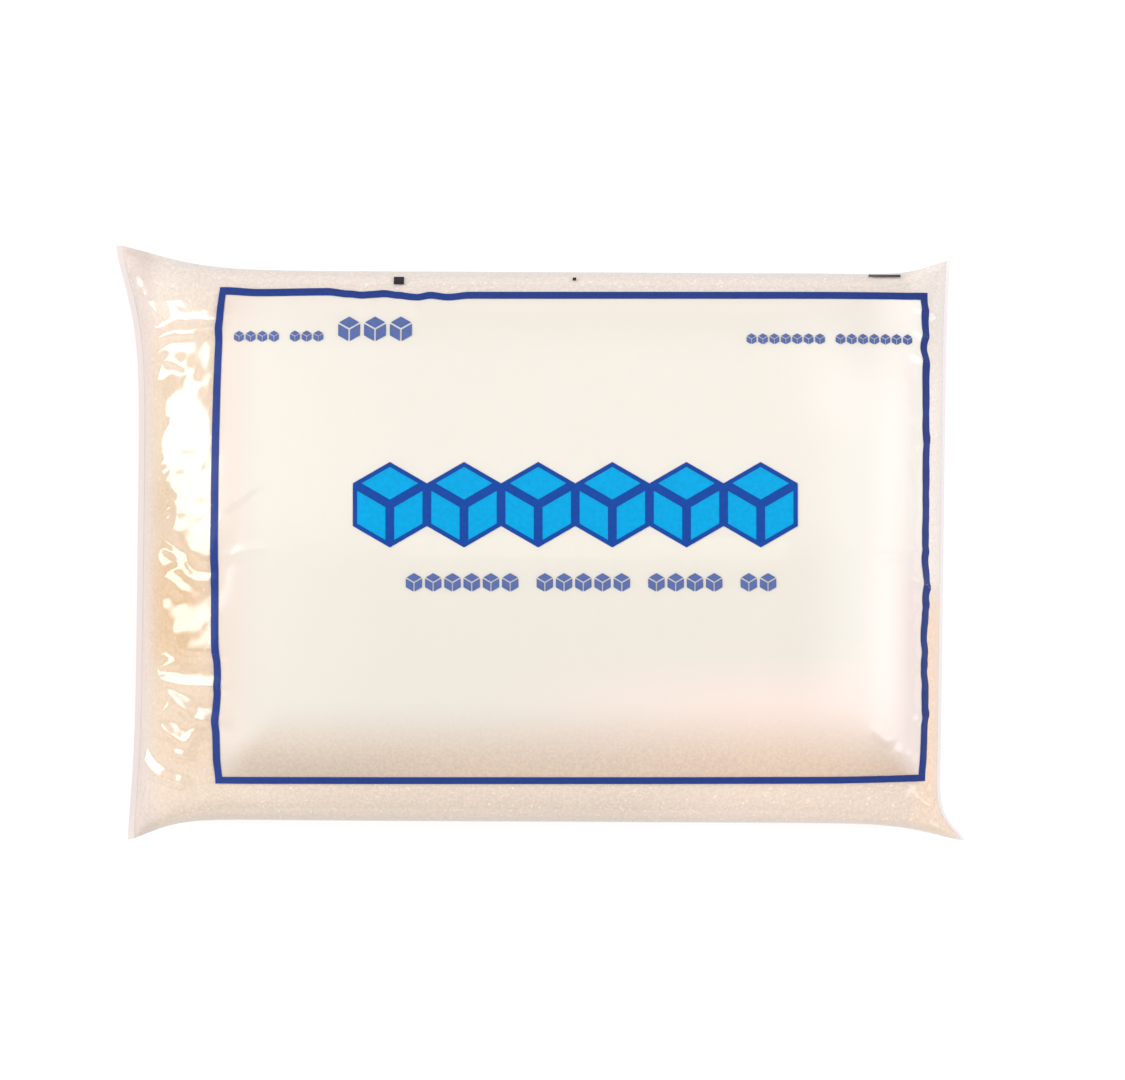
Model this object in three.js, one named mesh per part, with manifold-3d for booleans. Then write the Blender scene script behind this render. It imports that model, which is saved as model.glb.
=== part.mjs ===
// A one-kilogram bag of sugar, lying on a table with its printed side up.
// The bag is a tube of clear film, welded flat across its left and right ends. The sugar swells it
// between the welds, so the four corners stand out as thin ears, and the underside lies pressed flat.
// Millimetres: X runs from weld to weld, Y from side to side, and Z up from the table.
import * as THREE from "three";
import { mergeVertices } from "three/addons/utils/BufferGeometryUtils.js";
import Module from "manifold-3d";

// Driving dimensions.
const BODY_LENGTH = 229.5; // weld to weld, along the middle of the bag
const BODY_WIDTH = 156.1; // side to side, across the middle of the bag
const SIDE_LEVEL = 18; // height of the bag's widest line above the table
const CROWN = 24; // rise of the top above the widest line
const BELLY = 24.5; // drop of the free underside below the widest line, more than there is room for
const WELD_LEVEL = 13; // height of the welds above the table, halfway along them
const EAR_LEVEL = 8; // height of the ear tips
const WELD_THICKNESS = 1.2; // thin edge that stands for the two welded films
const WELD_MARGIN = 1.8; // flat film between the edge and the sugar
const ROUNDNESS = 2.05; // exponent of the superellipse that the cross-section follows

// How far each end stays sloping before the bag is full. The sugar has slid towards the right end.
const LEFT_SLOPE = 76;
const RIGHT_SLOPE = 46;
const SLOPE_CURVE = 2.4;

// The whole outline leans a little: the top side sits further right, and the right end lower.
const LEAN_X = 1.1;
const LEAN_Y = 0.6;

// The ears: how far each tip stands out past the end and past the side, and how far those flares
// reach along the weld and along the side.
const EARS = [
  { end: -1, side: 1, out: 7.5, up: 7.5, alongWeld: 17.5, alongSide: 18.5 },
  { end: -1, side: -1, out: 2.0, up: 6.2, alongWeld: 17, alongSide: 10.5 },
  { end: 1, side: 1, out: 1.0, up: 4.3, alongWeld: 13, alongSide: 8.5 },
  { end: 1, side: -1, out: 7.4, up: 5.2, alongWeld: 5.5, alongSide: 14 },
];
const FLARE_POWER = 1.5;

// Film gathered into shallow puckers that run in from each weld.
const PUCKERS = 5;
const PUCKER_DEPTH = 1.1;
const PUCKER_REACH = 16;

// Fineness of the mesh.
const STATIONS = 50;
const RING_POINTS = 92;
const TABLE_SPAN = 400;

const wasm = await Module();
wasm.setup();

// 1 at an ear's tip, falling smoothly to 0 with distance from it.
function flare(distance, reach) {
  return Math.exp(-((distance / reach) ** FLARE_POWER));
}

// The sine or cosine of a superellipse: rounder corners than an ellipse's.
function squared(value) {
  return Math.sign(value) * Math.abs(value) ** (2 / ROUNDNESS);
}

// Place in plan of a point that lies u of the way along the bag and v of the way across it, each
// from -1 to 1.
function plan(u, v) {
  let x = (u * BODY_LENGTH) / 2 + LEAN_X * v;
  let y = (v * BODY_WIDTH) / 2 - LEAN_Y * u;
  for (const ear of EARS) {
    const fromSide = ((1 - ear.side * v) * BODY_WIDTH) / 2;
    const fromEnd = ((1 - ear.end * u) * BODY_LENGTH) / 2;
    const nearEnd = (1 + ear.end * u) / 2;
    const nearSide = (1 + ear.side * v) / 2;
    x += ear.end * ear.out * flare(fromSide, ear.alongWeld) * nearEnd;
    y += ear.side * ear.up * flare(fromEnd, ear.alongSide) * nearSide;
  }
  return { x, y };
}

// Distance in from the nearer weld.
function fromWeld(u) {
  return ((1 - Math.abs(u)) * BODY_LENGTH) / 2;
}

// How full the bag is at u: 0 along the weld's margin, 1 once the end's slope is over.
function fullness(u) {
  const slope = u < 0 ? LEFT_SLOPE : RIGHT_SLOPE;
  const along = THREE.MathUtils.clamp((fromWeld(u) - WELD_MARGIN) / slope, 0, 1);
  return (1 - (1 - along) ** SLOPE_CURVE) ** (1 / ROUNDNESS);
}

// Height of the bag's widest line: it comes down to the welds, and further down to the ears.
function level(u, v) {
  const weldLevel = THREE.MathUtils.lerp(WELD_LEVEL, EAR_LEVEL, v ** 6);
  return THREE.MathUtils.lerp(weldLevel, SIDE_LEVEL, fullness(u) ** 2);
}

// Puckers in the upper film, deepest a little way in from the weld and gone in the middle of the bag.
function pucker(u, v) {
  const distance = fromWeld(u) - WELD_MARGIN;
  if (distance <= 0) {
    return 0;
  }
  const depth = PUCKER_DEPTH * (distance / PUCKER_REACH) * Math.exp(1 - distance / PUCKER_REACH);
  return depth * Math.cos(2 * Math.PI * PUCKERS * v);
}

// A point on the bag's skin, at an angle round the cross-section at u.
function skinPoint(u, angle) {
  const v = squared(Math.cos(angle));
  const lift = squared(Math.sin(angle));
  const { x, y } = plan(u, v);
  const swell = lift > 0 ? CROWN * fullness(u) + pucker(u, v) : BELLY * fullness(u);
  return new THREE.Vector3(x, y, level(u, v) + lift * (swell + WELD_THICKNESS / 2));
}

// One closed ring of points at each station from the left weld to the right one. The stations
// crowd together towards the welds, where the shape changes most.
function skinPoints() {
  const points = [];
  for (let station = 0; station <= STATIONS; station++) {
    const u = Math.sin((Math.PI / 2) * ((2 * station) / STATIONS - 1));
    for (let step = 0; step < RING_POINTS; step++) {
      points.push(skinPoint(u, (2 * Math.PI * step) / RING_POINTS));
    }
  }
  return points;
}

// Faces between one ring and the next.
function skinFaces() {
  const faces = [];
  for (let station = 0; station < STATIONS; station++) {
    const here = station * RING_POINTS;
    const next = here + RING_POINTS;
    for (let step = 0; step < RING_POINTS; step++) {
      const after = (step + 1) % RING_POINTS;
      faces.push(here + step, here + after, next + after);
      faces.push(here + step, next + after, next + step);
    }
  }
  return faces;
}

// The thin edge of the left weld: a strip of faces between its ring's upper and lower halves, which
// meet in one point at each side of the bag. The right weld's edge is the same strip, reversed.
function weldFaces(first) {
  const faces = [];
  const half = RING_POINTS / 2;
  for (let step = 0; step < half; step++) {
    const upper = first + step;
    const lower = first + ((RING_POINTS - step) % RING_POINTS);
    const nextLower = first + RING_POINTS - step - 1;
    if (step < half - 1) {
      faces.push(upper, nextLower, upper + 1);
    }
    if (step > 0) {
      faces.push(upper, lower, nextLower);
    }
  }
  return faces;
}

// The bag as it would be in mid-air, with its underside round.
function freeBag() {
  const lastRing = STATIONS * RING_POINTS;
  const geometry = new THREE.BufferGeometry().setFromPoints(skinPoints());
  geometry.setIndex([...skinFaces(), ...weldFaces(0), ...weldFaces(lastRing).reverse()]);
  return geometry;
}

function toSolid(geometry) {
  geometry.deleteAttribute("normal");
  geometry.deleteAttribute("uv");
  const merged = mergeVertices(geometry, 1e-4);
  return new wasm.Manifold(
    new wasm.Mesh({
      numProp: 3,
      vertProperties: merged.getAttribute("position").array,
      triVerts: new Uint32Array(merged.index.array),
    }),
  );
}

function toGeometry(solid) {
  const mesh = solid.getMesh();
  const geometry = new THREE.BufferGeometry();
  geometry.setAttribute("position", new THREE.BufferAttribute(mesh.vertProperties, 3));
  geometry.setIndex(new THREE.BufferAttribute(mesh.triVerts, 1));
  return geometry;
}

// The bag on the table, which presses its underside flat. The origin is under its middle.
function restingBag() {
  const table = new THREE.BoxGeometry(TABLE_SPAN, TABLE_SPAN, BELLY);
  table.translate(0, 0, -BELLY / 2);
  const geometry = toGeometry(toSolid(freeBag()).subtract(toSolid(table)));
  geometry.computeBoundingBox();
  const middle = geometry.boundingBox.getCenter(new THREE.Vector3());
  geometry.translate(-middle.x, -middle.y, 0);
  geometry.computeVertexNormals();
  return geometry;
}

const material = new THREE.MeshStandardMaterial({
  color: 0xf4ebdf,
  roughness: 0.2,
  metalness: 0,
});

const sugarBag = new THREE.Mesh(restingBag(), material);
sugarBag.name = "sugar_bag";

const bag = new THREE.Group();
bag.add(sugarBag);

export default bag;
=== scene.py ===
"""The looks of a clear-film bag of sugar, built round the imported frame.

The bag is a tube of clear film that is welded flat across both ends. Its plain form is a pillow,
worked out from the frame's box. The film is that form with the folds of its loose ends, and
everything else is placed from the two: the sugar's core and its loose crystals lie just under the
film, and the print lies on it. Lengths are in millimetres until a mesh is made, and meshes are in
metres.
"""

import math

import bpy
import numpy as np
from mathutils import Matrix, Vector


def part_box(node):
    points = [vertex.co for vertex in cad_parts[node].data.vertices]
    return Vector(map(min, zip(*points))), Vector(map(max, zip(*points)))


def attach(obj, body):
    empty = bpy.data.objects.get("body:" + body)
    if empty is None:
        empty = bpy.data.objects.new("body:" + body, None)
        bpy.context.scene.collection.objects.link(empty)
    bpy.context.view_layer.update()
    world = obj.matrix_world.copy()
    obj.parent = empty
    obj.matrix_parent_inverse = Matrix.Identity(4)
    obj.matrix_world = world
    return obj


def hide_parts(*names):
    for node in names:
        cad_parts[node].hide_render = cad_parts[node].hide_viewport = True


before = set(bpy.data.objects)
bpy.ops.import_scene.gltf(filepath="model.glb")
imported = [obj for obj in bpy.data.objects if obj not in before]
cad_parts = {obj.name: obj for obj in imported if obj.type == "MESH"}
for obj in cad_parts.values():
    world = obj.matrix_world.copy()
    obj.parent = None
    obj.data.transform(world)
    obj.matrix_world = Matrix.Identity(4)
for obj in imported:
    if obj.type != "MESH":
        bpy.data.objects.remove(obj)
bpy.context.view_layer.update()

MM = 0.001
TINY = 1e-9  # keeps a division away from zero

# --------------------------------------------------------------------------------------------
# The bag's plain form. The frame gives its box, and the rest are the bag's own proportions.
# --------------------------------------------------------------------------------------------

LOW, HIGH = [np.array(corner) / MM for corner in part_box("sugar_bag")]
BAG_LENGTH, BAG_WIDTH, BAG_HEIGHT = HIGH - LOW

EAR_SPAN_X = 12.7  # the ears add this much to the box's length, beyond the body
EAR_SPAN_Y = 13.9  # and this much to its width
BODY_LENGTH = BAG_LENGTH - EAR_SPAN_X
BODY_WIDTH = BAG_WIDTH - EAR_SPAN_Y
SIDE_LEVEL = 0.418 * BAG_HEIGHT  # the bag's widest line
WELD_LEVEL = 0.302 * BAG_HEIGHT
EAR_LEVEL = 0.186 * BAG_HEIGHT
CROWN = 0.557 * BAG_HEIGHT
BELLY = 0.568 * BAG_HEIGHT  # more than there is room for: the table presses it flat
LEFT_MARGIN, RIGHT_MARGIN = 1.6, 0.9  # flat film outside each weld
ROUNDNESS = 2.05  # exponent of the superellipse that a cross-section follows
LEFT_SLOPE, RIGHT_SLOPE = 76.0, 46.0  # how far each end's slope reaches in from its weld
SLOPE_CURVE = 2.4  # exponent of the slopes' rise
LEAN_X = 1.1  # how far the ends lean out of square over half the width
LEAN_Y = 0.6  # and the long sides over half the length
EAR_DROP = 6  # exponent: the welds come down to the ears only near their ends
SIDE_RISE = 2  # exponent of the widest line's rise with the fullness

# Each ear: its end and side, how far it stands out past them, and how far the flares reach.
EARS = (
    dict(end=-1, side=1, out=7.5, up=7.5, along_weld=17.5, along_side=18.5),
    dict(end=-1, side=-1, out=2.0, up=6.2, along_weld=17.0, along_side=10.5),
    dict(end=1, side=1, out=1.0, up=4.3, along_weld=13.0, along_side=8.5),
    dict(end=1, side=-1, out=7.4, up=5.2, along_weld=5.5, along_side=14.0),
)
FLARE_POWER = 1.5

# How far the fine rings of a grid go in from the welds, and how they crowd together towards them.
LEFT_END, RIGHT_END = 34.0, 26.0
CROWDING = 1.4
SECTION_POINTS = 721  # a half-section is worked out in these, and then spaced evenly


def flare(distance, reach):
    return np.exp(-((np.abs(distance) / reach) ** FLARE_POWER))


def plan(u, v, flared=1.0):
    """Place in plan of the point u along the bag and v across it, each from -1 to 1."""
    x = u * BODY_LENGTH / 2 + LEAN_X * v
    y = v * BODY_WIDTH / 2 - LEAN_Y * u
    for ear in EARS:
        end, side = ear["end"], ear["side"]
        from_side = (1 - side * v) * BODY_WIDTH / 2
        from_end = (1 - end * u) * BODY_LENGTH / 2
        out = flared * end * ear["out"] * flare(from_side, ear["along_weld"])
        up = flared * side * ear["up"] * flare(from_end, ear["along_side"])
        x = x + out * (1 + end * u) / 2
        y = y + up * (1 + side * v) / 2
    return x, y


def plan_offset():
    """What centres the outline on the frame's origin, as the frame's own solid is centred."""
    tips = np.array([plan(ear["end"], ear["side"]) for ear in EARS])
    return (tips.min(0) + tips.max(0)) / 2


OFFSET_X, OFFSET_Y = plan_offset()


def from_weld(u):
    return (1 - np.abs(u)) * BODY_LENGTH / 2


def fullness(u, inset):
    """0 along a weld's margin, or inset from it, and 1 once the end's slope is over."""
    margin = np.where(u < 0, LEFT_MARGIN, RIGHT_MARGIN) + inset
    slope = np.where(u < 0, LEFT_SLOPE, RIGHT_SLOPE)
    along = np.clip((from_weld(u) - margin) / slope, 0, 1)
    return (1 - (1 - along) ** SLOPE_CURVE) ** (1 / ROUNDNESS)


def level(u, v, full):
    """Height of the widest line: it comes down to the welds, and further down to the ears."""
    weld_level = WELD_LEVEL + (EAR_LEVEL - WELD_LEVEL) * v**EAR_DROP
    return weld_level + (SIDE_LEVEL - weld_level) * full**SIDE_RISE


def squared(value):
    return np.sign(value) * np.abs(value) ** (2 / ROUNDNESS)


def half_section(u, start, inset, flared):
    """Half of the cross-section at u, from angle start, as points close together."""
    angle = start + np.linspace(0, math.pi, SECTION_POINTS)
    v = squared(np.cos(angle))
    lift = squared(np.sin(angle))
    along = np.full_like(v, u)
    full = fullness(along, inset)
    x, y = plan(along, v, flared)
    swell = (CROWN if start == 0 else BELLY) * full
    z = np.maximum(level(along, v, full) + lift * swell, 0)
    return np.stack([x - OFFSET_X, y - OFFSET_Y, z], 1)


def evenly(points, steps):
    """Points spaced evenly along a path, without its last one."""
    gaps = np.linalg.norm(np.diff(points, axis=0), axis=1)
    reached = np.concatenate([[0], np.cumsum(gaps)])
    wanted = np.linspace(0, reached[-1], steps + 1)[:-1]
    return np.stack([np.interp(wanted, reached, points[:, k]) for k in range(3)], 1)


def stations(steps, inset):
    """Places along the bag from weld to weld, where the rings of a grid stand. The steps are those
    in the left end, the middle and the right end."""
    first = LEFT_MARGIN + inset - BODY_LENGTH / 2
    last = BODY_LENGTH / 2 - RIGHT_MARGIN - inset
    crowd = [
        np.linspace(0, 1, round(reach / step) + 1) ** CROWDING * reach
        for reach, step in ((LEFT_END, steps[0]), (RIGHT_END, steps[2]))
    ]
    length = last - first - LEFT_END - RIGHT_END
    middle = first + LEFT_END + np.linspace(0, length, round(length / steps[1]) + 1)
    return np.concatenate([first + crowd[0][:-1], middle, last - crowd[1][-2::-1]]) * 2 / BODY_LENGTH


def pillow(steps, over, under, inset=0.0, flared=1.0):
    """The bag's plain form as a grid of rings from weld to weld, each of over points across the
    top, from the +Y side to the -Y side, and under points back across the underside."""
    rings = []
    for u in stations(steps, inset):
        top = evenly(half_section(u, 0.0, inset, flared), over)
        bottom = evenly(half_section(u, math.pi, inset, flared), under)
        rings.append(np.concatenate([top, bottom]))
    return np.array(rings)


# --------------------------------------------------------------------------------------------
# Help with grids of points that close on themselves round the bag.
# --------------------------------------------------------------------------------------------


def normals(grid):
    """Outward unit normals of a grid of rings."""
    along = np.gradient(grid, axis=0)
    around = np.roll(grid, -1, 1) - np.roll(grid, 1, 1)
    across = np.cross(around, along)
    return across / (np.linalg.norm(across, axis=2, keepdims=True) + TINY)


# --------------------------------------------------------------------------------------------
# The film: the plain form, with folds where it is loose.
# --------------------------------------------------------------------------------------------

FILM_OVER = 220  # points of a ring over the top
FILM_UNDER = 80  # and back across the underside
FILM_STEPS = (0.5, 2.1, 0.5)  # between rings, on average: left end, middle, right end

# Each fold is a soft ridge: the places its crest runs through, its height, how far it reaches to
# the left and to the right of its run, and the share of its run in which it rises at one end and
# falls at the other.
FOLDS = (
    # the edge of the sugar's hump at the left end
    (
        ((-106.5, 47), (-105.3, 43), (-104, 37), (-104.3, 33), (-106.8, 30.5), (-105.8, 26), (-106, 21),
         (-103.8, 17.5), (-100.8, 13), (-101.3, 9), (-101, 4), (-98, 0), (-94, -3), (-87, -5)),
        0.9, 16, 4.2, 0.1,
    ),
    (((-110, -6), (-107, -13), (-105, -20), (-103.5, -25), (-100, -31)), 0.6, 9, 3, 0.25),
    # the left end, from the middle down
    (
        ((-111, 0.8), (-104, -2.6), (-101, -4.8), (-99.7, -8), (-96.5, -10), (-88, -10.3)),
        0.5, 1.0, 2.6, 0.25,
    ),
    (((-110, -0.5), (-106.5, -6.3), (-104.5, -9.5), (-101, -12.8), (-97.5, -14.6)), 0.5, 1.4, 2.6, 0.2),
    (((-105.5, -8), (-103, -7.4), (-100, -7.6)), 0.25, 1.0, 1.0, 0.25),
    (((-106, -29), (-102, -30), (-98, -30.8), (-86, -30.8)), 1.0, 8.0, 1.6, 0.3),
    (
        ((-101, -32.5), (-104.5, -34), (-108, -36.5), (-104, -39.3), (-98, -40.3), (-86, -40.6)),
        0.75, 1.6, 1.4, 0.2,
    ),
    (
        ((-109, -36.5), (-106.5, -40.8), (-103.5, -44), (-99.5, -47.6), (-96.5, -49.8), (-86, -50.8)),
        0.85, 2.0, 2.0, 0.2,
    ),
    (((-103, -44), (-107.5, -50.5), (-103.5, -55), (-99, -56), (-95.5, -50)), 1.0, 1.9, 1.9, 0.15),
    (((-105.5, -59.5), (-97, -60.5)), 1.2, 1.8, 1.6, 0.4),
    (((-114, -57), (-110.5, -64), (-104, -67.5), (-97, -68.5)), 1.0, 1.6, 1.5, 0.25),
    # the left end, above the middle
    (((-108, 52.5), (-105, 52), (-102, 51), (-99, 48.5), (-97.5, 44)), 0.6, 3.0, 1.8, 0.25),
    (((-112, 57), (-104, 59.4), (-98, 59.7), (-86, 61)), 1.2, 2.4, 2.3, 0.25),
    (((-106, 70), (-101.5, 67.5), (-96, 66), (-86, 64)), 0.8, 2.0, 2.2, 0.25),
    (((-119, 83), (-112, 72), (-106, 60)), 1.6, 2.6, 3.2, 0.25),
    (((-112, 67), (-104, 69), (-96, 70)), 0.6, 2.2, 2.2, 0.25),
    # the right end
    (((104, 67.5), (109, 66), (114, 62)), 0.5, 1.2, 1.2, 0.25),
    (((105, 61), (109, 58.5), (113, 57)), 0.4, 1.1, 1.1, 0.25),
    (((104, 54), (109, 51.5), (113, 47)), 0.4, 1.2, 1.2, 0.25),
    (((106, 26), (112, 31)), 0.3, 1.2, 1.2, 0.3),
    (((105, -1), (113, -3.5)), 0.3, 1.0, 1.0, 0.3),
    (((105, -9), (109, -12), (114, -15)), 0.4, 1.0, 1.0, 0.3),
    (((105, -19), (113, -17)), 0.4, 1.0, 1.0, 0.3),
    (((106, -36), (113, -33)), 0.3, 1.0, 1.0, 0.3),
    (((105, -51), (113, -47)), 0.4, 1.0, 1.0, 0.3),
    (((93, -51), (97, -55.5), (101, -56.5)), 0.4, 1.3, 1.3, 0.3),
    (((100, -57), (103, -60), (107, -61)), 0.4, 1.2, 1.2, 0.3),
    (((105, -69), (108, -73.5), (112, -76)), 1.5, 1.8, 2.0, 0.3),
    (((107.5, -76), (110.5, -73), (114, -68)), 1.5, 1.8, 1.6, 0.3),
    # short puckers beside the right weld
    (((110.4, 67.5), (111.6, 65), (112.2, 62)), 0.6, 1.1, 0.8, 0.3),
    (((110.2, -11.5), (111.2, -15), (110.6, -18)), 0.6, 1.1, 0.8, 0.3),
    (((110.8, -32.5), (111.2, -35), (110.8, -37)), 0.5, 1.0, 0.8, 0.3),
    (((110.6, -47), (111.2, -49.5), (110.8, -52)), 0.6, 1.1, 0.8, 0.3),
    (((110.5, -67.5), (112, -70.5), (111.5, -74)), 0.6, 1.1, 0.8, 0.3),
    # the top, where the printed line is pulled down
    (((-51, 74), (-49, 70), (-50, 64)), 0.35, 1.6, 1.6, 0.3),
    (((-36, 75), (-35, 70), (-36, 63)), 0.4, 1.4, 1.4, 0.3),
    # faint creases from the ends into the panel
    (((-92, -5), (-84, -2.5), (-76, -1)), 0.25, 1.2, 1.2, 0.4),
    (((84, -1), (94, -3.5), (105, -4)), 0.25, 1.2, 1.2, 0.4),
)

# Each swelling of the film: its place, how far it reaches along and across the bag, and its height.
SWELLINGS = (
    (-97.5, 46, 7, 11, 0.3),
    (-100, 24.2, 5, 1.3, -0.13),
    (-100, 18.6, 4.5, 1.2, -0.07),
    (-98, 34, 3, 3.5, -0.12),
)
WELD_GRIP = 3.0  # the weld holds the film flat for this far
SIDE_GRIP = 6.0  # and the full bag's round sides hold it smooth for this far

# Fine crinkles at the loose ends: how high they are, how long, where they begin, and how far from
# there they are at their full height.
CRINKLE_HEIGHT = 0.05
CRINKLE_LENGTHS = (3.0, 10.0)
CRINKLE_WAVES = 40
CRINKLE_SEED = 5
CRINKLED_LEFT, CRINKLED_RIGHT = -90.0, 103.0
CRINKLE_RISE_LEFT, CRINKLE_RISE_RIGHT = 6.0, 4.0
CURVE_STEPS = 6  # points between each pair of a fold's places


def eased(share):
    share = np.clip(share, 0, 1)
    return share * share * (3 - 2 * share)


def curve(places):
    """A smooth path through places, with a few short steps between each pair of them."""
    places = np.array(places, float)
    padded = np.concatenate([[2 * places[0] - places[1]], places, [2 * places[-1] - places[-2]]])
    t = np.linspace(0, 1, CURVE_STEPS, endpoint=False)[:, None]
    runs = []
    for before, start, stop, after in zip(padded, padded[1:], padded[2:], padded[3:]):
        pull = (stop - before) / 2, (after - start) / 2
        run = start + pull[0] * t + (3 * (stop - start) - 2 * pull[0] - pull[1]) * t**2
        runs.append(run + (2 * (start - stop) + pull[0] + pull[1]) * t**3)
    return np.concatenate(runs + [places[-1:]])


def fold(x, y, places, height, left, right, rise):
    """How high a fold lifts the film at places in plan."""
    path = curve(places)
    lengths = np.linalg.norm(np.diff(path, axis=0), axis=1)
    begins = np.concatenate([[0], np.cumsum(lengths)])
    nearest = np.full(x.shape, np.inf)
    along = np.zeros_like(x)
    side = np.zeros_like(x)
    for start, stop, length, begin in zip(path, path[1:], lengths, begins):
        way = (stop - start) / length
        gone = np.clip((x - start[0]) * way[0] + (y - start[1]) * way[1], 0, length)
        off_x = x - start[0] - gone * way[0]
        off_y = y - start[1] - gone * way[1]
        distance = np.hypot(off_x, off_y)
        closer = distance < nearest
        nearest = np.where(closer, distance, nearest)
        along = np.where(closer, (begin + gone) / begins[-1], along)
        side = np.where(closer, way[0] * off_y - way[1] * off_x, side)
    reach = np.where(side > 0, left, right)
    return height * np.exp(-((nearest / reach) ** 2)) * eased(np.minimum(along, 1 - along) / rise)


def crinkles(x, y):
    """Height of the fine crinkles at places in plan, from plane waves that run every way."""
    rng = np.random.default_rng(CRINKLE_SEED)
    height = np.zeros_like(x)
    for _ in range(CRINKLE_WAVES):
        number = 2 * math.pi / rng.uniform(*CRINKLE_LENGTHS)
        way, phase = rng.uniform(0, 2 * math.pi, 2)
        height += np.cos(number * (x * math.cos(way) + y * math.sin(way)) + phase)
    left = eased((CRINKLED_LEFT - x) / CRINKLE_RISE_LEFT)
    right = eased((x - CRINKLED_RIGHT) / CRINKLE_RISE_RIGHT)
    return CRINKLE_HEIGHT * math.sqrt(2 / CRINKLE_WAVES) * height * (left + right)


def lifted(form):
    """The film's grid: the plain form, lifted by the folds and the swellings of its top."""
    x, y = form[:, : FILM_OVER + 1, 0], form[:, : FILM_OVER + 1, 1]
    lift = crinkles(x, y) + sum(fold(x, y, *shape) for shape in FOLDS)
    for middle_x, middle_y, along, across, height in SWELLINGS:
        far = ((x - middle_x) / along) ** 2 + ((y - middle_y) / across) ** 2
        lift = lift + height * np.exp(-far)
    from_welds = np.minimum(x - x[0], x[-1] - x)
    from_sides = np.minimum(y[:, :1] - y, y - y[:, -1:])
    lift = lift * eased(np.minimum(from_welds / WELD_GRIP, from_sides / SIDE_GRIP))
    film = form.copy()
    film[:, : FILM_OVER + 1] += normals(form)[:, : FILM_OVER + 1] * lift[..., None]
    return film


FORM = pillow(FILM_STEPS, FILM_OVER, FILM_UNDER)
FILM = lifted(FORM)
FILM_OUT = normals(FILM)


# --------------------------------------------------------------------------------------------
# Places on the film.
# --------------------------------------------------------------------------------------------

INDEX_EDGE = 0.001  # an index stays this far inside the grid's last cell
INDEX_ROUNDS = 12  # rounds of the search for a place on the film
INDEX_STRIDE = 8  # the most cells that one of them moves
FLATTEST = 1e-6  # the least area in plan that it divides by


def between(grid, i, j):
    """The value of a grid at fractional rings i and points j."""
    i = np.clip(i, 0, len(grid) - 1 - INDEX_EDGE)
    j = np.clip(j, 0, FILM_OVER - INDEX_EDGE)
    i0 = i.astype(int)
    j0 = j.astype(int)
    s = (i - i0)[..., None]
    t = (j - j0)[..., None]
    near = grid[i0, j0] * (1 - t) + grid[i0, j0 + 1] * t
    far = grid[i0 + 1, j0] * (1 - t) + grid[i0 + 1, j0 + 1] * t
    return near * (1 - s) + far * s


def film_index(x, y):
    """Where on the film's top the plain form passes through the place x, y in plan."""
    x = np.asarray(x, float)
    y = np.asarray(y, float)
    i = np.interp(x, FORM[:, FILM_OVER // 2, 0], np.arange(len(FORM)))
    j = (0.5 - y / BODY_WIDTH) * FILM_OVER
    for _ in range(INDEX_ROUNDS):
        here = between(FORM, i, j)
        along = between(FORM, i + 0.5, j) - between(FORM, i - 0.5, j)
        across = between(FORM, i, j + 0.5) - between(FORM, i, j - 0.5)
        dx, dy = x - here[..., 0], y - here[..., 1]
        turn = along[..., 0] * across[..., 1] - along[..., 1] * across[..., 0]
        turn = np.where(np.abs(turn) < FLATTEST, FLATTEST, turn)
        move_i = (dx * across[..., 1] - dy * across[..., 0]) / turn
        move_j = (dy * along[..., 0] - dx * along[..., 1]) / turn
        i = np.clip(i + np.clip(move_i, -INDEX_STRIDE, INDEX_STRIDE), 0, len(FORM) - 1)
        j = np.clip(j + np.clip(move_j, -INDEX_STRIDE, INDEX_STRIDE), 0, FILM_OVER)
    return i, j


def on_film(x, y, depth):
    """Points on the top film at places in plan, depth millimetres in from its surface."""
    i, j = film_index(x, y)
    return between(FILM, i, j) - depth * between(FILM_OUT, i, j)


# --------------------------------------------------------------------------------------------
# Meshes.
# --------------------------------------------------------------------------------------------

SHARP_ANGLE = math.radians(50)  # faces that meet at more than this keep a sharp edge


def make_piece(name, points, faces, material, slot, smooth=True):
    """A mesh object from points in millimetres. It rides on the bag's one body."""
    mesh = bpy.data.meshes.new(name)
    mesh.from_pydata((np.asarray(points).reshape(-1, 3) * MM).tolist(), [], faces)
    mesh.validate()
    mesh.update()
    if smooth:
        mesh.shade_smooth()
        mesh.set_sharp_from_angle(angle=SHARP_ANGLE)
    mesh.materials.append(material)
    piece = bpy.data.objects.new(name, mesh)
    bpy.context.scene.collection.objects.link(piece)
    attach(piece, "root")
    return piece


def tube_faces(rings, count):
    """Four-sided faces of a grid of closed rings, facing out."""
    index = np.arange(rings * count).reshape(rings, count)
    here, there = index[:-1], index[1:]
    corners = [here, np.roll(here, -1, 1), np.roll(there, -1, 1), there]
    return np.stack(corners, -1).reshape(-1, 4).tolist()


def slab(top, bottom):
    """Points and faces of a thin closed slab between two grids of rows and columns."""
    rows, columns = top.shape[:2]
    index = np.arange(rows * columns).reshape(rows, columns)
    upper = np.stack([index[:-1, :-1], index[1:, :-1], index[1:, 1:], index[:-1, 1:]], -1)
    faces = upper.reshape(-1, 4).tolist()
    lower = upper[..., ::-1] + rows * columns
    faces += lower.reshape(-1, 4).tolist()
    rim = np.concatenate([index[0], index[1:, -1], index[-1, -2::-1], index[-2:0:-1, 0]])
    after = np.roll(rim, -1)
    under = rows * columns
    faces += np.stack([rim, after, after + under, rim + under], -1).tolist()
    return np.concatenate([top.reshape(-1, 3), bottom.reshape(-1, 3)]), faces


def joined(parts):
    """Several sets of points and faces as one."""
    points, faces, used = [], [], 0
    for some_points, some_faces in parts:
        points.append(some_points)
        faces += [[corner + used for corner in face] for face in some_faces]
        used += len(some_points)
    return np.concatenate(points), faces


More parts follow.
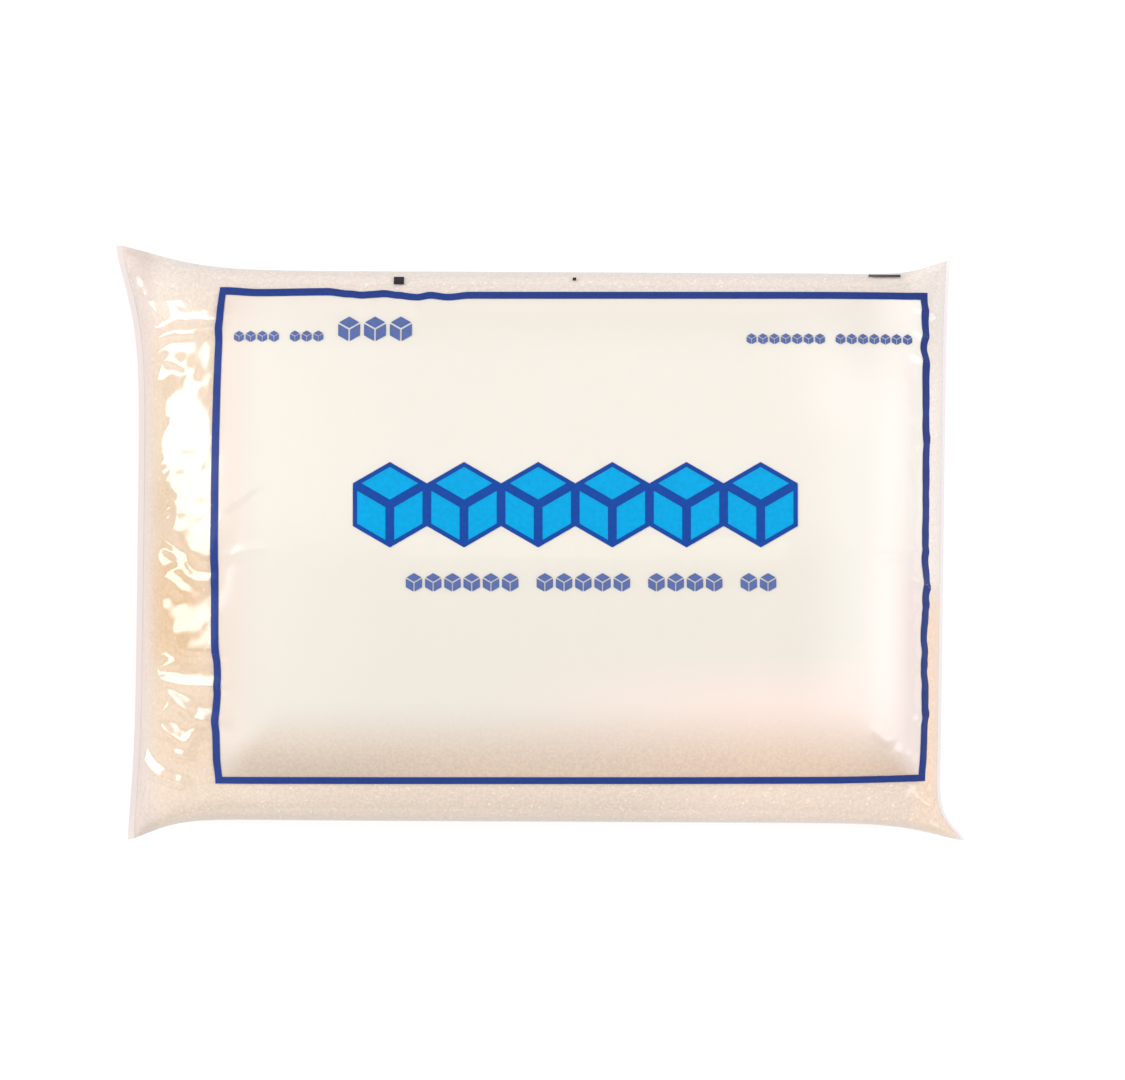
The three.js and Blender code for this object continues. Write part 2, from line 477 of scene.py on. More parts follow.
# --------------------------------------------------------------------------------------------
# Materials.
# --------------------------------------------------------------------------------------------

NOISE_RANGE = (0.35, 0.65)  # what a noise texture mostly keeps within
BUMP_STRENGTH = 0.35
BUMP_HEIGHT = 0.15
INK_SPOT, INK_DARK, INK_LIGHT = 1.2, 0.94, 1.06
INK_ROUGHNESS = 0.25
INK_GLOSS = 0.22


class Look:
    """A material under construction."""

    def __init__(self, name):
        self.material = bpy.data.materials.new(name)
        self.material.use_nodes = True
        self.nodes = self.material.node_tree.nodes
        self.wires = self.material.node_tree.links
        self.principled = self.nodes["Principled BSDF"]

    def add(self, kind, inputs=(), **settings):
        return add_node(self.nodes, self.wires, kind, inputs, **settings)

    def maths(self, operation, *values):
        return self.add("Math", dict(enumerate(values)), operation=operation).outputs[0]

    def surface(self, shader):
        self.nodes.remove(self.principled)
        self.wires.new(shader, self.nodes["Material Output"].inputs["Surface"])
        return self.material

    def finish(self, **sockets):
        """Sets the Principled shader's sockets, and returns the material."""
        plug(self.wires, self.principled, sockets)
        return self.material


def plug(wires, node, values):
    """Sets a node's sockets, each to a value or to another node's output."""
    for name, value in dict(values).items():
        socket = node.inputs[name.replace("_", " ") if isinstance(name, str) else name]
        if isinstance(value, bpy.types.NodeSocket):
            wires.new(value, socket)
        else:
            socket.default_value = value


def add_node(nodes, wires, kind, inputs=(), **settings):
    node = nodes.new("ShaderNode" + kind)
    for name, value in settings.items():
        setattr(node, name, value)
    plug(wires, node, inputs)
    return node


def paint(red, green, blue):
    return (red, green, blue, 1)


def coordinates(look):
    return look.add("TexCoord").outputs["Object"]


def speckle(look, size):
    """A fine noise whose spots are about size millimetres."""
    inputs = dict(Vector=coordinates(look), Scale=1 / (size * MM))
    return look.add("TexNoise", inputs).outputs["Fac"]


def two_tone(look, noise, dark, light):
    """Dark where a noise is low and light where it is high, with every mix between."""
    ramp = look.add("ValToRGB", dict(Fac=noise))
    for element, place, colour in zip(ramp.color_ramp.elements, NOISE_RANGE, (dark, light)):
        element.position = place
        element.color = colour
    return ramp.outputs["Color"]


def blend_colours(look, share, first, second):
    return look.add("MixRGB", dict(Fac=share, Color1=first, Color2=second)).outputs["Color"]


def smooth_step(look, value, start, stop):
    """0 where a value is at start and 1 where it is at stop, in millimetres."""
    values = {"Value": value, "From Min": start * MM, "From Max": stop * MM}
    return look.add("MapRange", values, interpolation_type="SMOOTHSTEP").outputs["Result"]


def ramp_along(look, axis, start, stop):
    """A value that goes smoothly from 0 to 1 between two places along an axis."""
    split = look.add("SeparateXYZ", dict(Vector=coordinates(look)))
    return smooth_step(look, split.outputs[axis], start, stop)


def toned(look, shade, tones):
    """The shade with other tones over it, each where all its ramps along the axes have risen."""
    for tone, ramps in tones:
        share = 1.0
        for axis, start, full in ramps:
            share = look.maths("MULTIPLY", share, ramp_along(look, axis, start, full))
        shade = blend_colours(look, share, shade, tone)
    return shade


def grained(look, share, shade, noise, dark, light):
    """The shade with a fine grain that takes it from dark to light times itself."""
    grain = two_tone(look, noise, paint(dark, dark, dark), paint(light, light, light))
    values = dict(Fac=share, Color1=shade, Color2=grain)
    return look.add("MixRGB", values, blend_type="MULTIPLY").outputs["Color"]


def clear_film(name, tint, roughness, ior):
    """See-through film: it lets light by, and its outer face mirrors the studio."""
    look = Look(name)
    through = look.add("BsdfTransparent", dict(Color=tint))
    gloss = look.add("BsdfGlossy", dict(Roughness=roughness))
    mirrored = look.add("Fresnel", dict(IOR=ior)).outputs["Fac"]
    inner = look.add("NewGeometry").outputs["Backfacing"]
    share = look.maths("MULTIPLY", mirrored, look.maths("SUBTRACT", 1.0, inner))
    film = {0: share, 1: through.outputs["BSDF"], 2: gloss.outputs["BSDF"]}
    return look.surface(look.add("MixShader", film).outputs["Shader"])


def sugar(name, dark, light, spot, roughness):
    """Cane sugar, in tones that change over the bag, with a fine grain."""
    look = Look(name)
    noise = speckle(look, spot)
    colour = grained(look, 1.0, toned(look, SUGAR_PALE, SUGAR_TONES), noise, dark, light)
    bumps = look.add("Bump", dict(Height=noise, Strength=BUMP_STRENGTH, Distance=BUMP_HEIGHT * MM))
    return look.finish(Base_Color=colour, Roughness=roughness, Normal=bumps.outputs["Normal"])


def ink(name, colour, gloss=INK_GLOSS):
    """Printing ink: its colour is a little uneven, in fine spots."""
    look = Look(name)
    dark = paint(*[INK_DARK * part for part in colour])
    light = paint(*[INK_LIGHT * part for part in colour])
    shade = two_tone(look, speckle(look, INK_SPOT), dark, light)
    return look.finish(Base_Color=shade, Roughness=INK_ROUGHNESS, Specular_IOR_Level=gloss)


def milky(name):
    """A milky ground that mostly hides the sugar. Over the bag's slope on the -Y side it is thinner
    and takes the sugar's own colour and grain, between two slanting edges."""
    look = Look(name)
    share = ramp_along(look, "Y", FADE_START, FADE_STOP)
    split = look.add("SeparateXYZ", dict(Vector=coordinates(look)))
    for end, place in ((-1, HIP_LEFT), (1, HIP_RIGHT)):
        across = look.maths("MULTIPLY_ADD", split.outputs["Y"], HIP_SLANT * end, split.outputs["X"])
        inside = smooth_step(look, across, place + end * HIP_EDGE, place - end * HIP_EDGE)
        share = look.maths("MULTIPLY", share, inside)
    ground = toned(look, MILKY_COLOUR, MILKY_TONES)
    slope = toned(look, SLOPE_COLOUR, SLOPE_TONES)
    colour = blend_colours(look, share, ground, slope)
    colour = grained(look, share, colour, speckle(look, SLOPE_SPOT), SLOPE_DARK, SLOPE_LIGHT)
    solid = look.add("BsdfDiffuse", dict(Color=colour)).outputs["BSDF"]
    through = look.add("BsdfTransparent").outputs["BSDF"]
    thinned = {"Value": share, "To Min": MILKY_COVER, "To Max": SLOPE_COVER}
    cover = look.add("MapRange", thinned).outputs["Result"]
    return look.surface(look.add("MixShader", {0: cover, 1: through, 2: solid}).outputs["Shader"])


# The printed frame and the fade of the ground inside it: places in plan.
FRAME_LEFT, FRAME_RIGHT = -91.6, 109.9
FRAME_TOP, FRAME_BOTTOM = 70.9, -68.4
FRAME_LINE = 2.0
FADE_START, FADE_STOP = -43.0, -66.0
HIP_LEFT, HIP_RIGHT = -38.6, 55.1  # where the fade's slanting edges would meet the middle line
HIP_SLANT = 0.77  # how far each goes outwards for every millimetre towards -Y
HIP_EDGE = 5.0  # and how soft they are

# A material's tones: each comes in over those before it, from nothing to full between two places
# along an axis.
MILKY_COLOUR, MILKY_COVER = paint(0.645, 0.622, 0.555), 0.88
MILKY_TONES = (
    # a little lighter along the top and in the right half's upper part
    (paint(0.68, 0.64, 0.575), (("Y", 58, 67),)),
    (paint(0.69, 0.66, 0.60), (("X", 62, 84), ("Y", 24, 44))),
    # warmer near the left side, darker in its lower corner, and a blush towards the slope on the
    # right
    (paint(0.655, 0.580, 0.505), (("X", -76, -90),)),
    (paint(0.57, 0.505, 0.44), (("X", -72, -86), ("Y", -54, -64))),
    (paint(0.74, 0.635, 0.57), (("Y", -26, -48), ("X", -30, 66))),
    # whiter near the right side, which is painted light for the glare there, and pinker below the
    # middle there
    (paint(0.83, 0.80, 0.74), (("X", 88, 106),)),
    (paint(0.81, 0.715, 0.67), (("X", 88, 106), ("Y", 12, -20))),
)

SLOPE_COLOUR, SLOPE_COVER = paint(0.605, 0.493, 0.395), 0.7
SLOPE_TONES = (
    # darker towards the left, and lighter towards the right
    (paint(0.53, 0.45, 0.36), (("X", -5, -75), ("Y", -52, -66))),
    (paint(0.65, 0.515, 0.395), (("X", 15, 70),)),
)
SLOPE_SPOT, SLOPE_DARK, SLOPE_LIGHT = 0.85, 0.93, 1.06

SUGAR_PALE = paint(0.69, 0.585, 0.495)
SUGAR_TONES = (
    # cooler along the top, and darker along the bottom, but lighter on the right there
    (paint(0.65, 0.58, 0.515), (("Y", 40, 74),)),
    (paint(0.645, 0.545, 0.445), (("Y", -60, -74),)),
    (paint(0.72, 0.595, 0.49), (("Y", -60, -74), ("X", 20, 60))),
    # tan at the left end, and golden where it humps up there
    (paint(0.565, 0.44, 0.31), (("X", -72, -98), ("Y", 82, 46), ("Y", -84, -56))),
    (paint(0.52, 0.36, 0.20), (("X", -90, -102), ("Y", 8, -10), ("Y", -42, -26))),
    (paint(0.51, 0.385, 0.25), (("X", -95, -104), ("Y", -6, 8), ("Y", 26, 12))),
    # greyer where it is thin along the left weld
    (paint(0.54, 0.455, 0.40), (("X", -107, -113),)),
    # paler along the right weld, less so near the top, as painted light through the thin sugar, and tan
    # there from the middle to the ear
    (paint(0.79, 0.71, 0.645), (("X", 103, 111), ("Y", -24, -8))),
    (paint(0.71, 0.65, 0.595), (("X", 103, 111), ("Y", 38, 60))),
    (paint(0.80, 0.595, 0.43), (("X", 103, 111), ("Y", -8, -24), ("Y", -90, -64))),
)

FILM_LOOK = clear_film("film_clear", paint(0.965, 0.945, 0.955), roughness=0.1, ior=1.75)
LEFT_WELD_LOOK = clear_film("film_weld_left", paint(0.935, 0.88, 0.865), roughness=0.15, ior=1.6)
RIGHT_WELD_LOOK = clear_film("film_weld_right", paint(0.955, 0.92, 0.925), roughness=0.15, ior=1.6)
CORE_LOOK = sugar("sugar_core", dark=0.92, light=1.04, spot=0.9, roughness=0.6)
# the crystals are painted lighter than the core: partly paler grains, partly painted sparkle and
# painted light over the shade round them
GRAIN_LOOK = sugar("sugar_grain", dark=1.06, light=1.26, spot=1.3, roughness=0.3)
NAVY = ink("ink_navy", (0.017, 0.037, 0.175), gloss=0.1)
TITLE_BLUE = ink("ink_title_blue", (0.006, 0.043, 0.24), gloss=0.08)
MID_BLUE = ink("ink_blue", (0.070, 0.105, 0.27))
CYAN = ink("ink_cyan", (0.0, 0.26, 0.52), gloss=0.08)
BLACK = ink("ink_black", (0.008, 0.006, 0.01))
MILKY = milky("ink_milky")

# --------------------------------------------------------------------------------------------
# The bag.
# --------------------------------------------------------------------------------------------


def let_light_by(piece):
    """Clear film casts no shadow, and it isn't a light for what is under it."""
    piece.visible_shadow = False
    piece.visible_diffuse = False


def make_film():
    rings, count = FILM.shape[:2]
    let_light_by(make_piece("film", FILM, tube_faces(rings, count), FILM_LOOK, "film"))


WELD_THICKNESS = 0.16
WELD_OVERLAP = 0.5  # it runs on under the film for this share of its width, into the sugar
WELD_THINNED = 0.3  # and its edge there is this share of its thickness
WELD_ROWS = 6  # rows of points across it


def make_weld(name, end, look):
    """The flat margin outside a weld, where the two films are one."""
    row = FILM[0 if end < 0 else -1, : FILM_OVER + 1]
    v = np.linspace(1, -1, FILM_OVER + 1)
    ends = np.full_like(v, end)
    x, y = plan(ends, v)
    edge = np.stack([x - OFFSET_X, y - OFFSET_Y, level(ends, v, 0.0)], 1)
    inner = row - (edge - row) * WELD_OVERLAP
    grid = np.stack([inner + (edge - inner) * share for share in np.linspace(0, 1, WELD_ROWS)])
    if end < 0:
        grid = grid[:, ::-1]
    lift = np.zeros((len(grid), 1, 3))
    lift[:, 0, 2] = WELD_THICKNESS / 2
    lift[0, 0, 2] *= WELD_THINNED
    points, faces = slab(grid - lift, grid + lift)
    let_light_by(make_piece(name, points, faces, look, "film"))


CORE_STEPS = (0.8, 0.85, 0.8)  # between rings, on average: left end, middle, right end
CORE_OVER = 230  # points of a ring over the top
CORE_UNDER = 70  # and back across the underside
CORE_INSET = 0.05  # the sugar reaches almost into the films' narrow corner
CORE_FLARED = 0.98  # and almost into the ears' tips
CORE_DEPTH = 0.5  # how far under the film its surface lies
CORE_SKIN = 0.02  # the least depth, where the bag is thin
CORE_DEEPENING = 0.3  # what each millimetre of the bag's thickness adds to it
CORE_ROUGH = 0.2  # the share of the depth that varies from place to place
ROUGH_LEVEL = 8.0  # and it does so fully where the sugar is this far above or below the weld
CORE_SEED = 11
TABLE_GAP = 0.05  # the contents stay this far above the table

HEAP = pillow(CORE_STEPS, CORE_OVER, CORE_UNDER, CORE_INSET, CORE_FLARED)
HEAP_OUT = normals(HEAP)


def make_core():
    """The sugar's bulk: a little inside the film, with a grainy surface."""
    rng = np.random.default_rng(CORE_SEED)
    u = stations(CORE_STEPS, CORE_INSET)[:, None]
    v = np.clip(2 * HEAP[..., 1] / BODY_WIDTH, -1, 1)
    thick = np.abs(HEAP[..., 2] - level(u, v, fullness(u, CORE_INSET)))
    depth = np.minimum(CORE_DEPTH, CORE_SKIN + CORE_DEEPENING * thick)
    rough = CORE_ROUGH * eased(thick / ROUGH_LEVEL)
    depth = depth * (1 + rough * rng.uniform(-1, 1, HEAP.shape[:2]))
    depth[[0, -1]] = 0
    form = HEAP - HEAP_OUT * depth[..., None]
    form[..., 2] = np.maximum(form[..., 2], TABLE_GAP)
    rings, count = form.shape[:2]
    core = make_piece("sugar_core", form, tube_faces(rings, count), CORE_LOOK, "sugar")
    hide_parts("sugar_bag")


# Crystals: three sizes of box, in millimetres, and how many of each.
CRYSTALS = (("sugar_fine", 0.42, 16000), ("sugar_middle", 0.54, 16000), ("sugar_coarse", 0.64, 14000))
CRYSTAL_SIDES = (0.75, 1.25)  # the shortest and the longest side of a box, against its size
CRYSTAL_GAP = 0.35  # how far under the film the nearest corner lies
CRYSTAL_SINKING = 0.2  # and how much further it may lie
CRYSTAL_LEVEL = 19.0  # they lie only where the bag is at least this tall, and not along the welds
CRYSTAL_SPREAD = BODY_WIDTH / 2 + 1  # nor in the thin ears, this far from the middle line
PANEL_SHARE = 0.25  # crystals under the milky ground, against the bare strips
PANEL_END = FADE_STOP + 10  # and down to here, where the ground is about half faded
UNDER_SHARE = 0.3  # crystals on the underside, where it is flat, against the bare strips
UNDER_LEVEL = 0.5  # it counts as flat below this height

# A box of unit sides about its middle.
BOX_CORNERS = np.array([[x, y, z] for z in (-1, 1) for y in (-1, 1) for x in (-1, 1)]) / 2
BOX_FACES = np.array(
    [(0, 2, 3, 1), (4, 5, 7, 6), (0, 1, 5, 4), (2, 6, 7, 3), (0, 4, 6, 2), (1, 3, 7, 5)]
)


def random_turns(count, rng):
    """Rotation matrices of random unit quaternions."""
    q = rng.normal(size=(count, 4))
    w, x, y, z = (q / np.linalg.norm(q, axis=1, keepdims=True)).T
    rows = [
        [1 - 2 * (y * y + z * z), 2 * (x * y - w * z), 2 * (x * z + w * y)],
        [2 * (x * y + w * z), 1 - 2 * (x * x + z * z), 2 * (y * z - w * x)],
        [2 * (x * z - w * y), 2 * (y * z + w * x), 1 - 2 * (x * x + y * y)],
    ]
    return np.array(rows).transpose(2, 0, 1)


def crystal_places(count, rng):
    """Places on the heap, chosen by area, and sparser where little shows."""
    a, b = HEAP[:-1], HEAP[1:]
    sides = np.linalg.norm(np.cross(np.roll(a, -1, 1) - a, b - a), axis=2)
    middle = (a + b) / 2
    x, y = middle[..., 0], middle[..., 1]
    over = np.arange(HEAP.shape[1])[None, :] < CORE_OVER
    inside = (x > FRAME_LEFT) & (x < FRAME_RIGHT) & (y < FRAME_TOP) & (y > PANEL_END)
    flat = (~over) & (middle[..., 2] < UNDER_LEVEL)
    weight = sides * np.where(inside & over, PANEL_SHARE, 1) * np.where(flat, UNDER_SHARE, 1)
    weight = weight * (middle[..., 2].max(1, keepdims=True) > CRYSTAL_LEVEL)
    weight = weight * (np.abs(y) < CRYSTAL_SPREAD)
    chosen = rng.choice(weight.size, count, p=(weight / weight.sum()).ravel())
    i, j = np.divmod(chosen, HEAP.shape[1])
    s, t = rng.random((2, count, 1))
    k = (j + 1) % HEAP.shape[1]
    near = HEAP[i, j] * (1 - t) + HEAP[i, k] * t
    far = HEAP[i + 1, j] * (1 - t) + HEAP[i + 1, k] * t
    return near * (1 - s) + far * s, HEAP_OUT[i, j]


def make_crystals(name, size, count, seed):
    rng = np.random.default_rng(seed)
    places, out = crystal_places(count, rng)
    sides = size * rng.uniform(*CRYSTAL_SIDES, (count, 1, 3))
    boxes = (BOX_CORNERS * sides) @ random_turns(count, rng)
    reach = (boxes * out[:, None]).sum(2).max(1)[:, None]
    depth = CRYSTAL_GAP + reach + rng.uniform(0, CRYSTAL_SINKING, (count, 1))
    boxes = boxes + (places - out * depth)[:, None]
    boxes[..., 2] = np.maximum(boxes[..., 2], TABLE_GAP)
    first_corners = len(BOX_CORNERS) * np.arange(count)[:, None, None]
    faces = (BOX_FACES[None] + first_corners).reshape(-1, 4).tolist()
    make_piece(name, boxes, faces, GRAIN_LOOK, "sugar", smooth=False)


# --------------------------------------------------------------------------------------------
# The print.
# --------------------------------------------------------------------------------------------

INK_THICKNESS = 0.03
INK_DEPTH = -0.05  # the inks are printed on the film's outer side
TOP_INK_DEPTH = -0.1  # an ink that lies on another one
GROUND_DEPTH = 0.12  # and the milky ground is on its inner side


def ink_slab(x, y, depth=INK_DEPTH):
    """Points and faces of a patch of ink over a grid of places in plan."""
    return slab(on_film(x, y, depth), on_film(x, y, depth + INK_THICKNESS))


def four_sided(corners, step, depth=INK_DEPTH):
    """A patch of ink with four straight sides, cut into squares of about a step."""
    corners = np.array(corners, float)
    longest = max(np.linalg.norm(corners - np.roll(corners, 1, 0), axis=1))
    share = np.linspace(0, 1, max(2, math.ceil(longest / step) + 1))
    s, t = share[:, None, None], share[None, :, None]
    near = corners[0] * (1 - s) + corners[1] * s
    far = corners[3] * (1 - s) + corners[2] * s
    places = near * (1 - t) + far * t
    return ink_slab(places[..., 0], places[..., 1], depth)


def cube_faces(x, y, side, shrink):
    """The three rhombs of a cube seen along its diagonal, each drawn in towards its middle."""
    rim = [(x + side * math.sin(a), y + side * math.cos(a)) for a in np.radians(range(0, 360, 60))]
    rhombs = []
    for first in (5, 1, 3):  # where the top, the right and the left rhomb begin on the rim
        corners = np.array([(x, y)] + [rim[(first + k) % 6] for k in range(3)])
        rhombs.append(corners.mean(0) + (corners - corners.mean(0)) * shrink)
    return rhombs


# How far each side of the printed frame has crept outwards with the film: places along the side
# and the creep there, in millimetres.
LEFT_CREEP = (
    (-68, 0.3),
    (-60, 0.9),
    (-50, 1.0),
    (-40, 0.3),
    (-20, 1.0),
    (20, 0.8),
    (50, 0.3),
    (60, 0.0),
    (66, -0.4),
    (72, -1.0),
)
RIGHT_CREEP = (
    (-67, -0.7),
    (-60, -0.3),
    (-48, 0.0),
    (-41, 0.1),
    (-35, -0.5),
    (-31, 0.0),
    (-27, -0.5),
    (-20, 0.0),
    (-9, 0.3),
    (-4, -0.1),
    (10, 0.2),
    (40, 0.3),
    (51, 0.3),
    (55, -0.3),
    (60, 0.3),
    (66, 0.1),
)
TOP_CREEP = (
    (-90, 1.5),
    (-79, 0.9),
    (-60, 1.1),
    (-54, 0.4),
    (-50, -0.1),
    (-44, 0.5),
    (-40, 0.0),
    (-35, -0.8),
    (-31, 0.0),
    (-26, -0.6),
    (-20, 0.0),
    (104, 0.0),
    (110, 0.1),
)
BOTTOM_CREEP = ((-92, -0.3), (-60, -0.4), (20, -0.4), (80, -0.5), (110, -0.8))
CREEP_REACH = 9.0  # how far in from a side the print still creeps with it


def crept(creep, place):
    """The creep at places along a side, smoothly between the ones given."""
    places, amounts = np.array(creep, float).T
    k = np.clip(np.searchsorted(places, place) - 1, 0, len(places) - 2)
    share = eased((place - places[k]) / (places[k + 1] - places[k]))
    return amounts[k] * (1 - share) + amounts[k + 1] * share


def line_shift(x, y):
    """Where the film's creep puts a place of the print."""
    along = crept(RIGHT_CREEP, y) * eased(1 - (FRAME_RIGHT - x) / CREEP_REACH)
    along = along - crept(LEFT_CREEP, y) * eased(1 - (x - FRAME_LEFT) / CREEP_REACH)
    up = crept(TOP_CREEP, x) * eased(1 - (FRAME_TOP - y) / CREEP_REACH)
    up = up - crept(BOTTOM_CREEP, x) * eased(1 - (y - FRAME_BOTTOM) / CREEP_REACH)
    return x + along, y + up


# How finely the frame's line is cut, along it and across it.
FRAME_STEP = 0.7
FRAME_ROWS = 5


def make_frame():
    """The printed frame: one line round a rectangle, in four mitred bands."""
    corners = [
        (FRAME_LEFT, FRAME_TOP, 1, -1),
        (FRAME_RIGHT, FRAME_TOP, -1, -1),
        (FRAME_RIGHT, FRAME_BOTTOM, -1, 1),
        (FRAME_LEFT, FRAME_BOTTOM, 1, 1),
    ]
    bands = []
    for start, stop in zip(corners, corners[1:] + corners[:1]):
        length = math.dist(start[:2], stop[:2])
        share = np.linspace(0, 1, round(length / FRAME_STEP) + 1)[:, None]
        inward = np.linspace(0, FRAME_LINE, FRAME_ROWS)[None, :]
        x = (start[0] + start[2] * inward) * (1 - share) + (stop[0] + stop[2] * inward) * share
        y = (start[1] + start[3] * inward) * (1 - share) + (stop[1] + stop[3] * inward) * share
        bands.append(ink_slab(*line_shift(x, y)))
    points, faces = joined(bands)
    make_piece("print_frame", points, faces, NAVY, "print_navy")


GROUND_INSET = FRAME_LINE / 2  # the ground ends under the middle of the line
GROUND_COLUMNS, GROUND_ROWS = 160, 105


def make_ground():
    """The milky ground, in one piece inside the frame."""
    x = np.linspace(FRAME_LEFT + GROUND_INSET, FRAME_RIGHT - GROUND_INSET, GROUND_COLUMNS)[:, None]
    y = np.linspace(FRAME_TOP - GROUND_INSET, FRAME_BOTTOM + GROUND_INSET, GROUND_ROWS)[None, :]
    points, faces = ink_slab(*line_shift(*np.broadcast_arrays(x, y)), GROUND_DEPTH)
    ground = make_piece("print_ground", points, faces, MILKY, "print_milky")
    ground.visible_shadow = False


TITLE_CUBES = 6
TITLE_SIDE = 12.0
TITLE_X, TITLE_Y = 9.9, 10.7
TITLE_FRONT = 0.76  # what the cyan covers of each blue rhomb's length
TITLE_STEP = 1.5


def make_title():
    """A row of sugar cubes in cyan on blue."""
    grounds, fronts = [], []
    pitch = TITLE_SIDE * math.sqrt(3)
    for k in range(TITLE_CUBES):
        x = TITLE_X + (k - (TITLE_CUBES - 1) / 2) * pitch
        for rhomb in cube_faces(x, TITLE_Y, TITLE_SIDE, 1.0):
            grounds.append(four_sided(rhomb, TITLE_STEP))
        for rhomb in cube_faces(x, TITLE_Y, TITLE_SIDE, TITLE_FRONT):
            fronts.append(four_sided(rhomb, TITLE_STEP, TOP_INK_DEPTH))
    make_piece("print_title_ground", *joined(grounds), TITLE_BLUE, "print_navy")
    make_piece("print_title", *joined(fronts), CYAN, "print_cyan")


# Rows of small cubes: name, left end, middle height, side, and how many in each group.
LABELS = (
    ("print_subtitle", -38.0, -11.1, 2.85, (6, 5, 4, 2)),
    ("print_label_left", -86.6, 58.2, 1.75, (4, 3)),
    ("print_label_large", -57.4, 60.2, 3.85, (3,)),
    ("print_label_right", 57.9, 57.4, 1.7, (7, 7)),
)
LABEL_FRONT = 0.86  # what the ink covers of each rhomb's length
LABEL_STEP = 2.0
CUBE_GAP = 0.16  # between two cubes, against a cube's side
GROUP_GAP = 0.8  # between two groups, against the pitch of the cubes


def make_label(name, x, y, side, groups):
    """A row of groups of small cubes, from x on."""
    pitch = side * math.sqrt(3) + CUBE_GAP * side
    parts = []
    for count in groups:
        for _ in range(count):
            for rhomb in cube_faces(x + pitch / 2, y, side, LABEL_FRONT):
                parts.append(four_sided(rhomb, LABEL_STEP))
            x += pitch
        x += GROUP_GAP * pitch
    make_piece(name, *joined(parts), MID_BLUE, "print_blue")


# Register marks: left, bottom, right and top of each.
MARKS = (
    (-41.4, 73.1, -38.5, 75.3),
    (9.2, 74.2, 10.2, 75.1),
    (93.2, 75.5, 102.4, 76.2),
)
MARK_STEP = 1.0


def make_marks():
    parts = [
        four_sided([(left, low), (right, low), (right, high), (left, high)], MARK_STEP)
        for left, low, right, high in MARKS
    ]
    make_piece("print_marks", *joined(parts), BLACK, "mark_black")


make_film()
make_weld("weld_left", -1, LEFT_WELD_LOOK)
make_weld("weld_right", 1, RIGHT_WELD_LOOK)
make_core()
for seed, (name, size, count) in enumerate(CRYSTALS):
    make_crystals(name, size, count, seed)
make_frame()
make_ground()
make_title()
for label in LABELS:
    make_label(*label)
make_marks()

# --------------------------------------------------------------------------------------------
# Floor, light and camera.
# --------------------------------------------------------------------------------------------

FLOOR_HALF = 4.0  # metres
FLOOR_DARK, FLOOR_LIGHT = paint(0.155, 0.155, 0.155), paint(0.165, 0.165, 0.165)
FLOOR_SPOT = 40
FLOOR_ROUGHNESS = 0.9
FLOOR_GLOW = 0.82  # it glows, so that it shows as lit white paper


def make_floor():
    mesh = bpy.data.meshes.new("floor")
    corners = [(x * FLOOR_HALF, y * FLOOR_HALF, 0) for x, y in ((-1, -1), (1, -1), (1, 1), (-1, 1))]
    mesh.from_pydata(corners, [], [(0, 1, 2, 3)])
    floor = bpy.data.objects.new("floor", mesh)
    bpy.context.scene.collection.objects.link(floor)
    look = Look("floor_white")
    shade = two_tone(look, speckle(look, FLOOR_SPOT), FLOOR_DARK, FLOOR_LIGHT)
    glow = {"Emission Color": paint(1, 1, 1), "Emission Strength": FLOOR_GLOW}
    mesh.materials.append(look.finish(Base_Color=shade, Roughness=FLOOR_ROUGHNESS, **glow))


# The studio: a grey-white tent, with soft boxes as brighter windows in it. Each box is given by
# how far its sides lean towards +X and +Y from straight up, in degrees, how soft they are, and
# its brightness.
TENT = 0.57
SOFT_BOXES = (
    dict(x=(-91, -42), y=(-4, 45), edges=(8, 4, 8, 9), bright=7.5),
    dict(x=(-91, -34), y=(-75, -26), edges=(8, 8, 10, 8), bright=0.9),
    dict(x=(20, 74), y=(-35, 30), edges=(20, 20, 20, 20), bright=2.6),
    dict(x=(-50, 30), y=(1, 42), edges=(20, 20, 5, 10), bright=0.75),
)


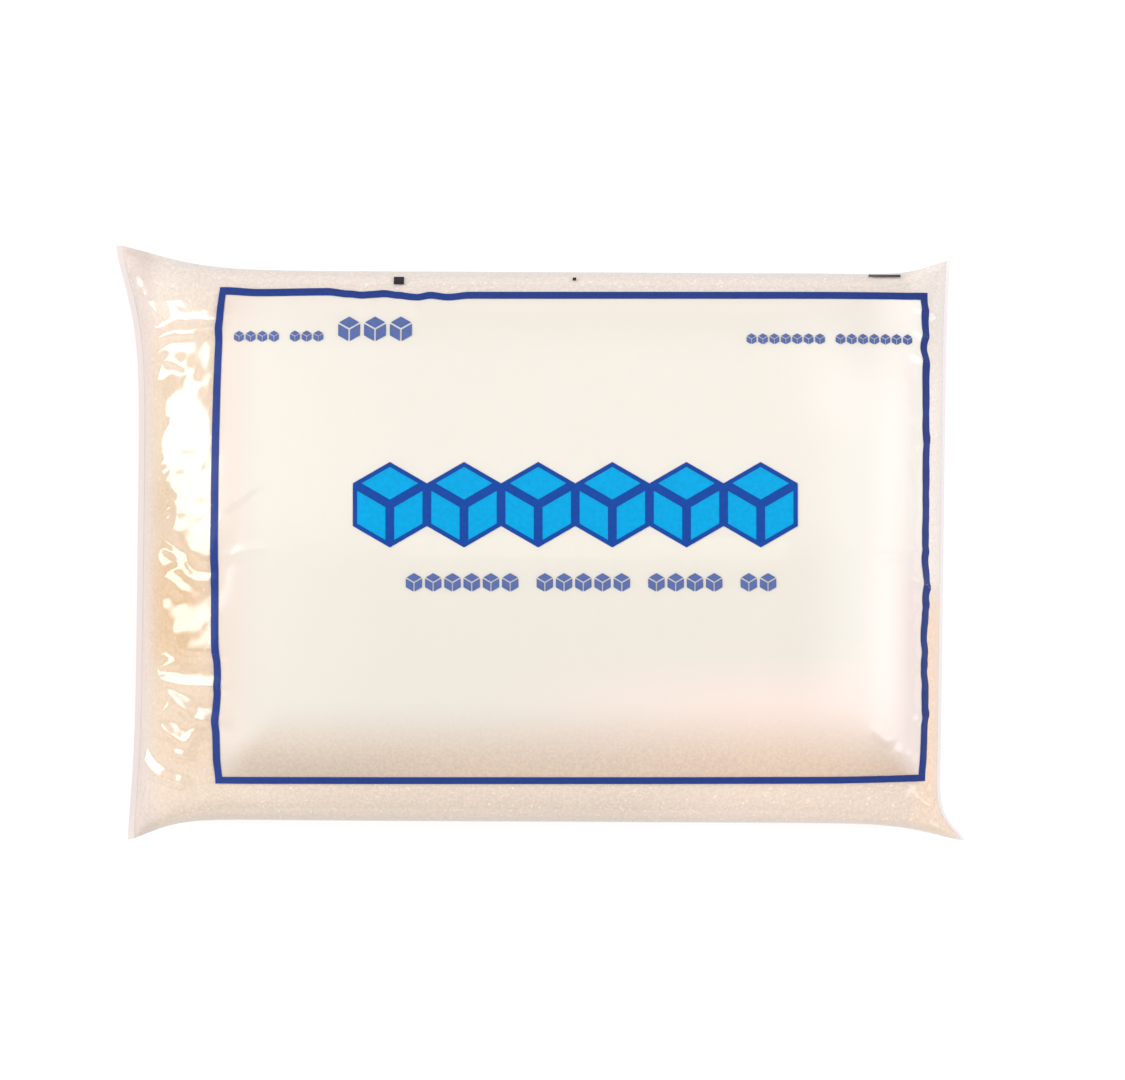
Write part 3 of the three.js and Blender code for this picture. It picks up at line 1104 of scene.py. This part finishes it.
def make_studio():
    world = bpy.data.worlds.new("studio")
    bpy.context.scene.world = world
    world.use_nodes = True
    nodes, wires = world.node_tree.nodes, world.node_tree.links

    def add(kind, inputs=(), **settings):
        return add_node(nodes, wires, kind, inputs, **settings)

    def lean(axis, up):
        turn = add("Math", {0: axis, 1: up}, operation="ARCTAN2")
        return add("Math", {0: turn.outputs[0]}, operation="DEGREES").outputs[0]

    def step(angle, middle, edge):
        """0 below an angle and 1 above it, with a soft edge."""
        values = {"Value": angle, "From Min": middle - edge, "From Max": middle + edge}
        return add("MapRange", values, interpolation_type="SMOOTHSTEP").outputs["Result"]

    def window(angle, sides, edges):
        values = {0: step(angle, sides[0], edges[0]), 1: step(angle, sides[1], edges[1])}
        return add("Math", values, operation="SUBTRACT").outputs[0]

    split = add("SeparateXYZ", dict(Vector=add("TexCoord").outputs["Generated"])).outputs
    lean_x, lean_y = lean(split["X"], split["Z"]), lean(split["Y"], split["Z"])
    light = TENT
    for box in SOFT_BOXES:
        across = window(lean_x, box["x"], box["edges"][:2])
        along = window(lean_y, box["y"], box["edges"][2:])
        both = add("Math", {0: across, 1: along}, operation="MULTIPLY").outputs[0]
        values = {0: both, 1: box["bright"], 2: light}
        light = add("Math", values, operation="MULTIPLY_ADD").outputs[0]
    wires.new(light, nodes["Background"].inputs["Strength"])
    nodes["Background"].inputs["Color"].default_value = paint(1, 1, 1)


# The camera looks straight down on the print from far off.
LENS = 200.0
SENSOR = 36.0
VIEW_WIDTH = 319.5  # what the picture takes in across, at the level of the bag's sides
VIEW_X, VIEW_Y = 6.32, 0.8


def make_camera():
    camera = bpy.data.cameras.new("camera")
    camera.lens = LENS
    camera.sensor_width = SENSOR
    distance = VIEW_WIDTH * LENS / SENSOR
    holder = bpy.data.objects.new("camera", camera)
    holder.location = (VIEW_X * MM, VIEW_Y * MM, (SIDE_LEVEL + distance) * MM)
    bpy.context.scene.collection.objects.link(holder)
    bpy.context.scene.camera = holder
    bpy.context.scene.view_settings.view_transform = "Standard"


make_floor()
make_studio()
make_camera()
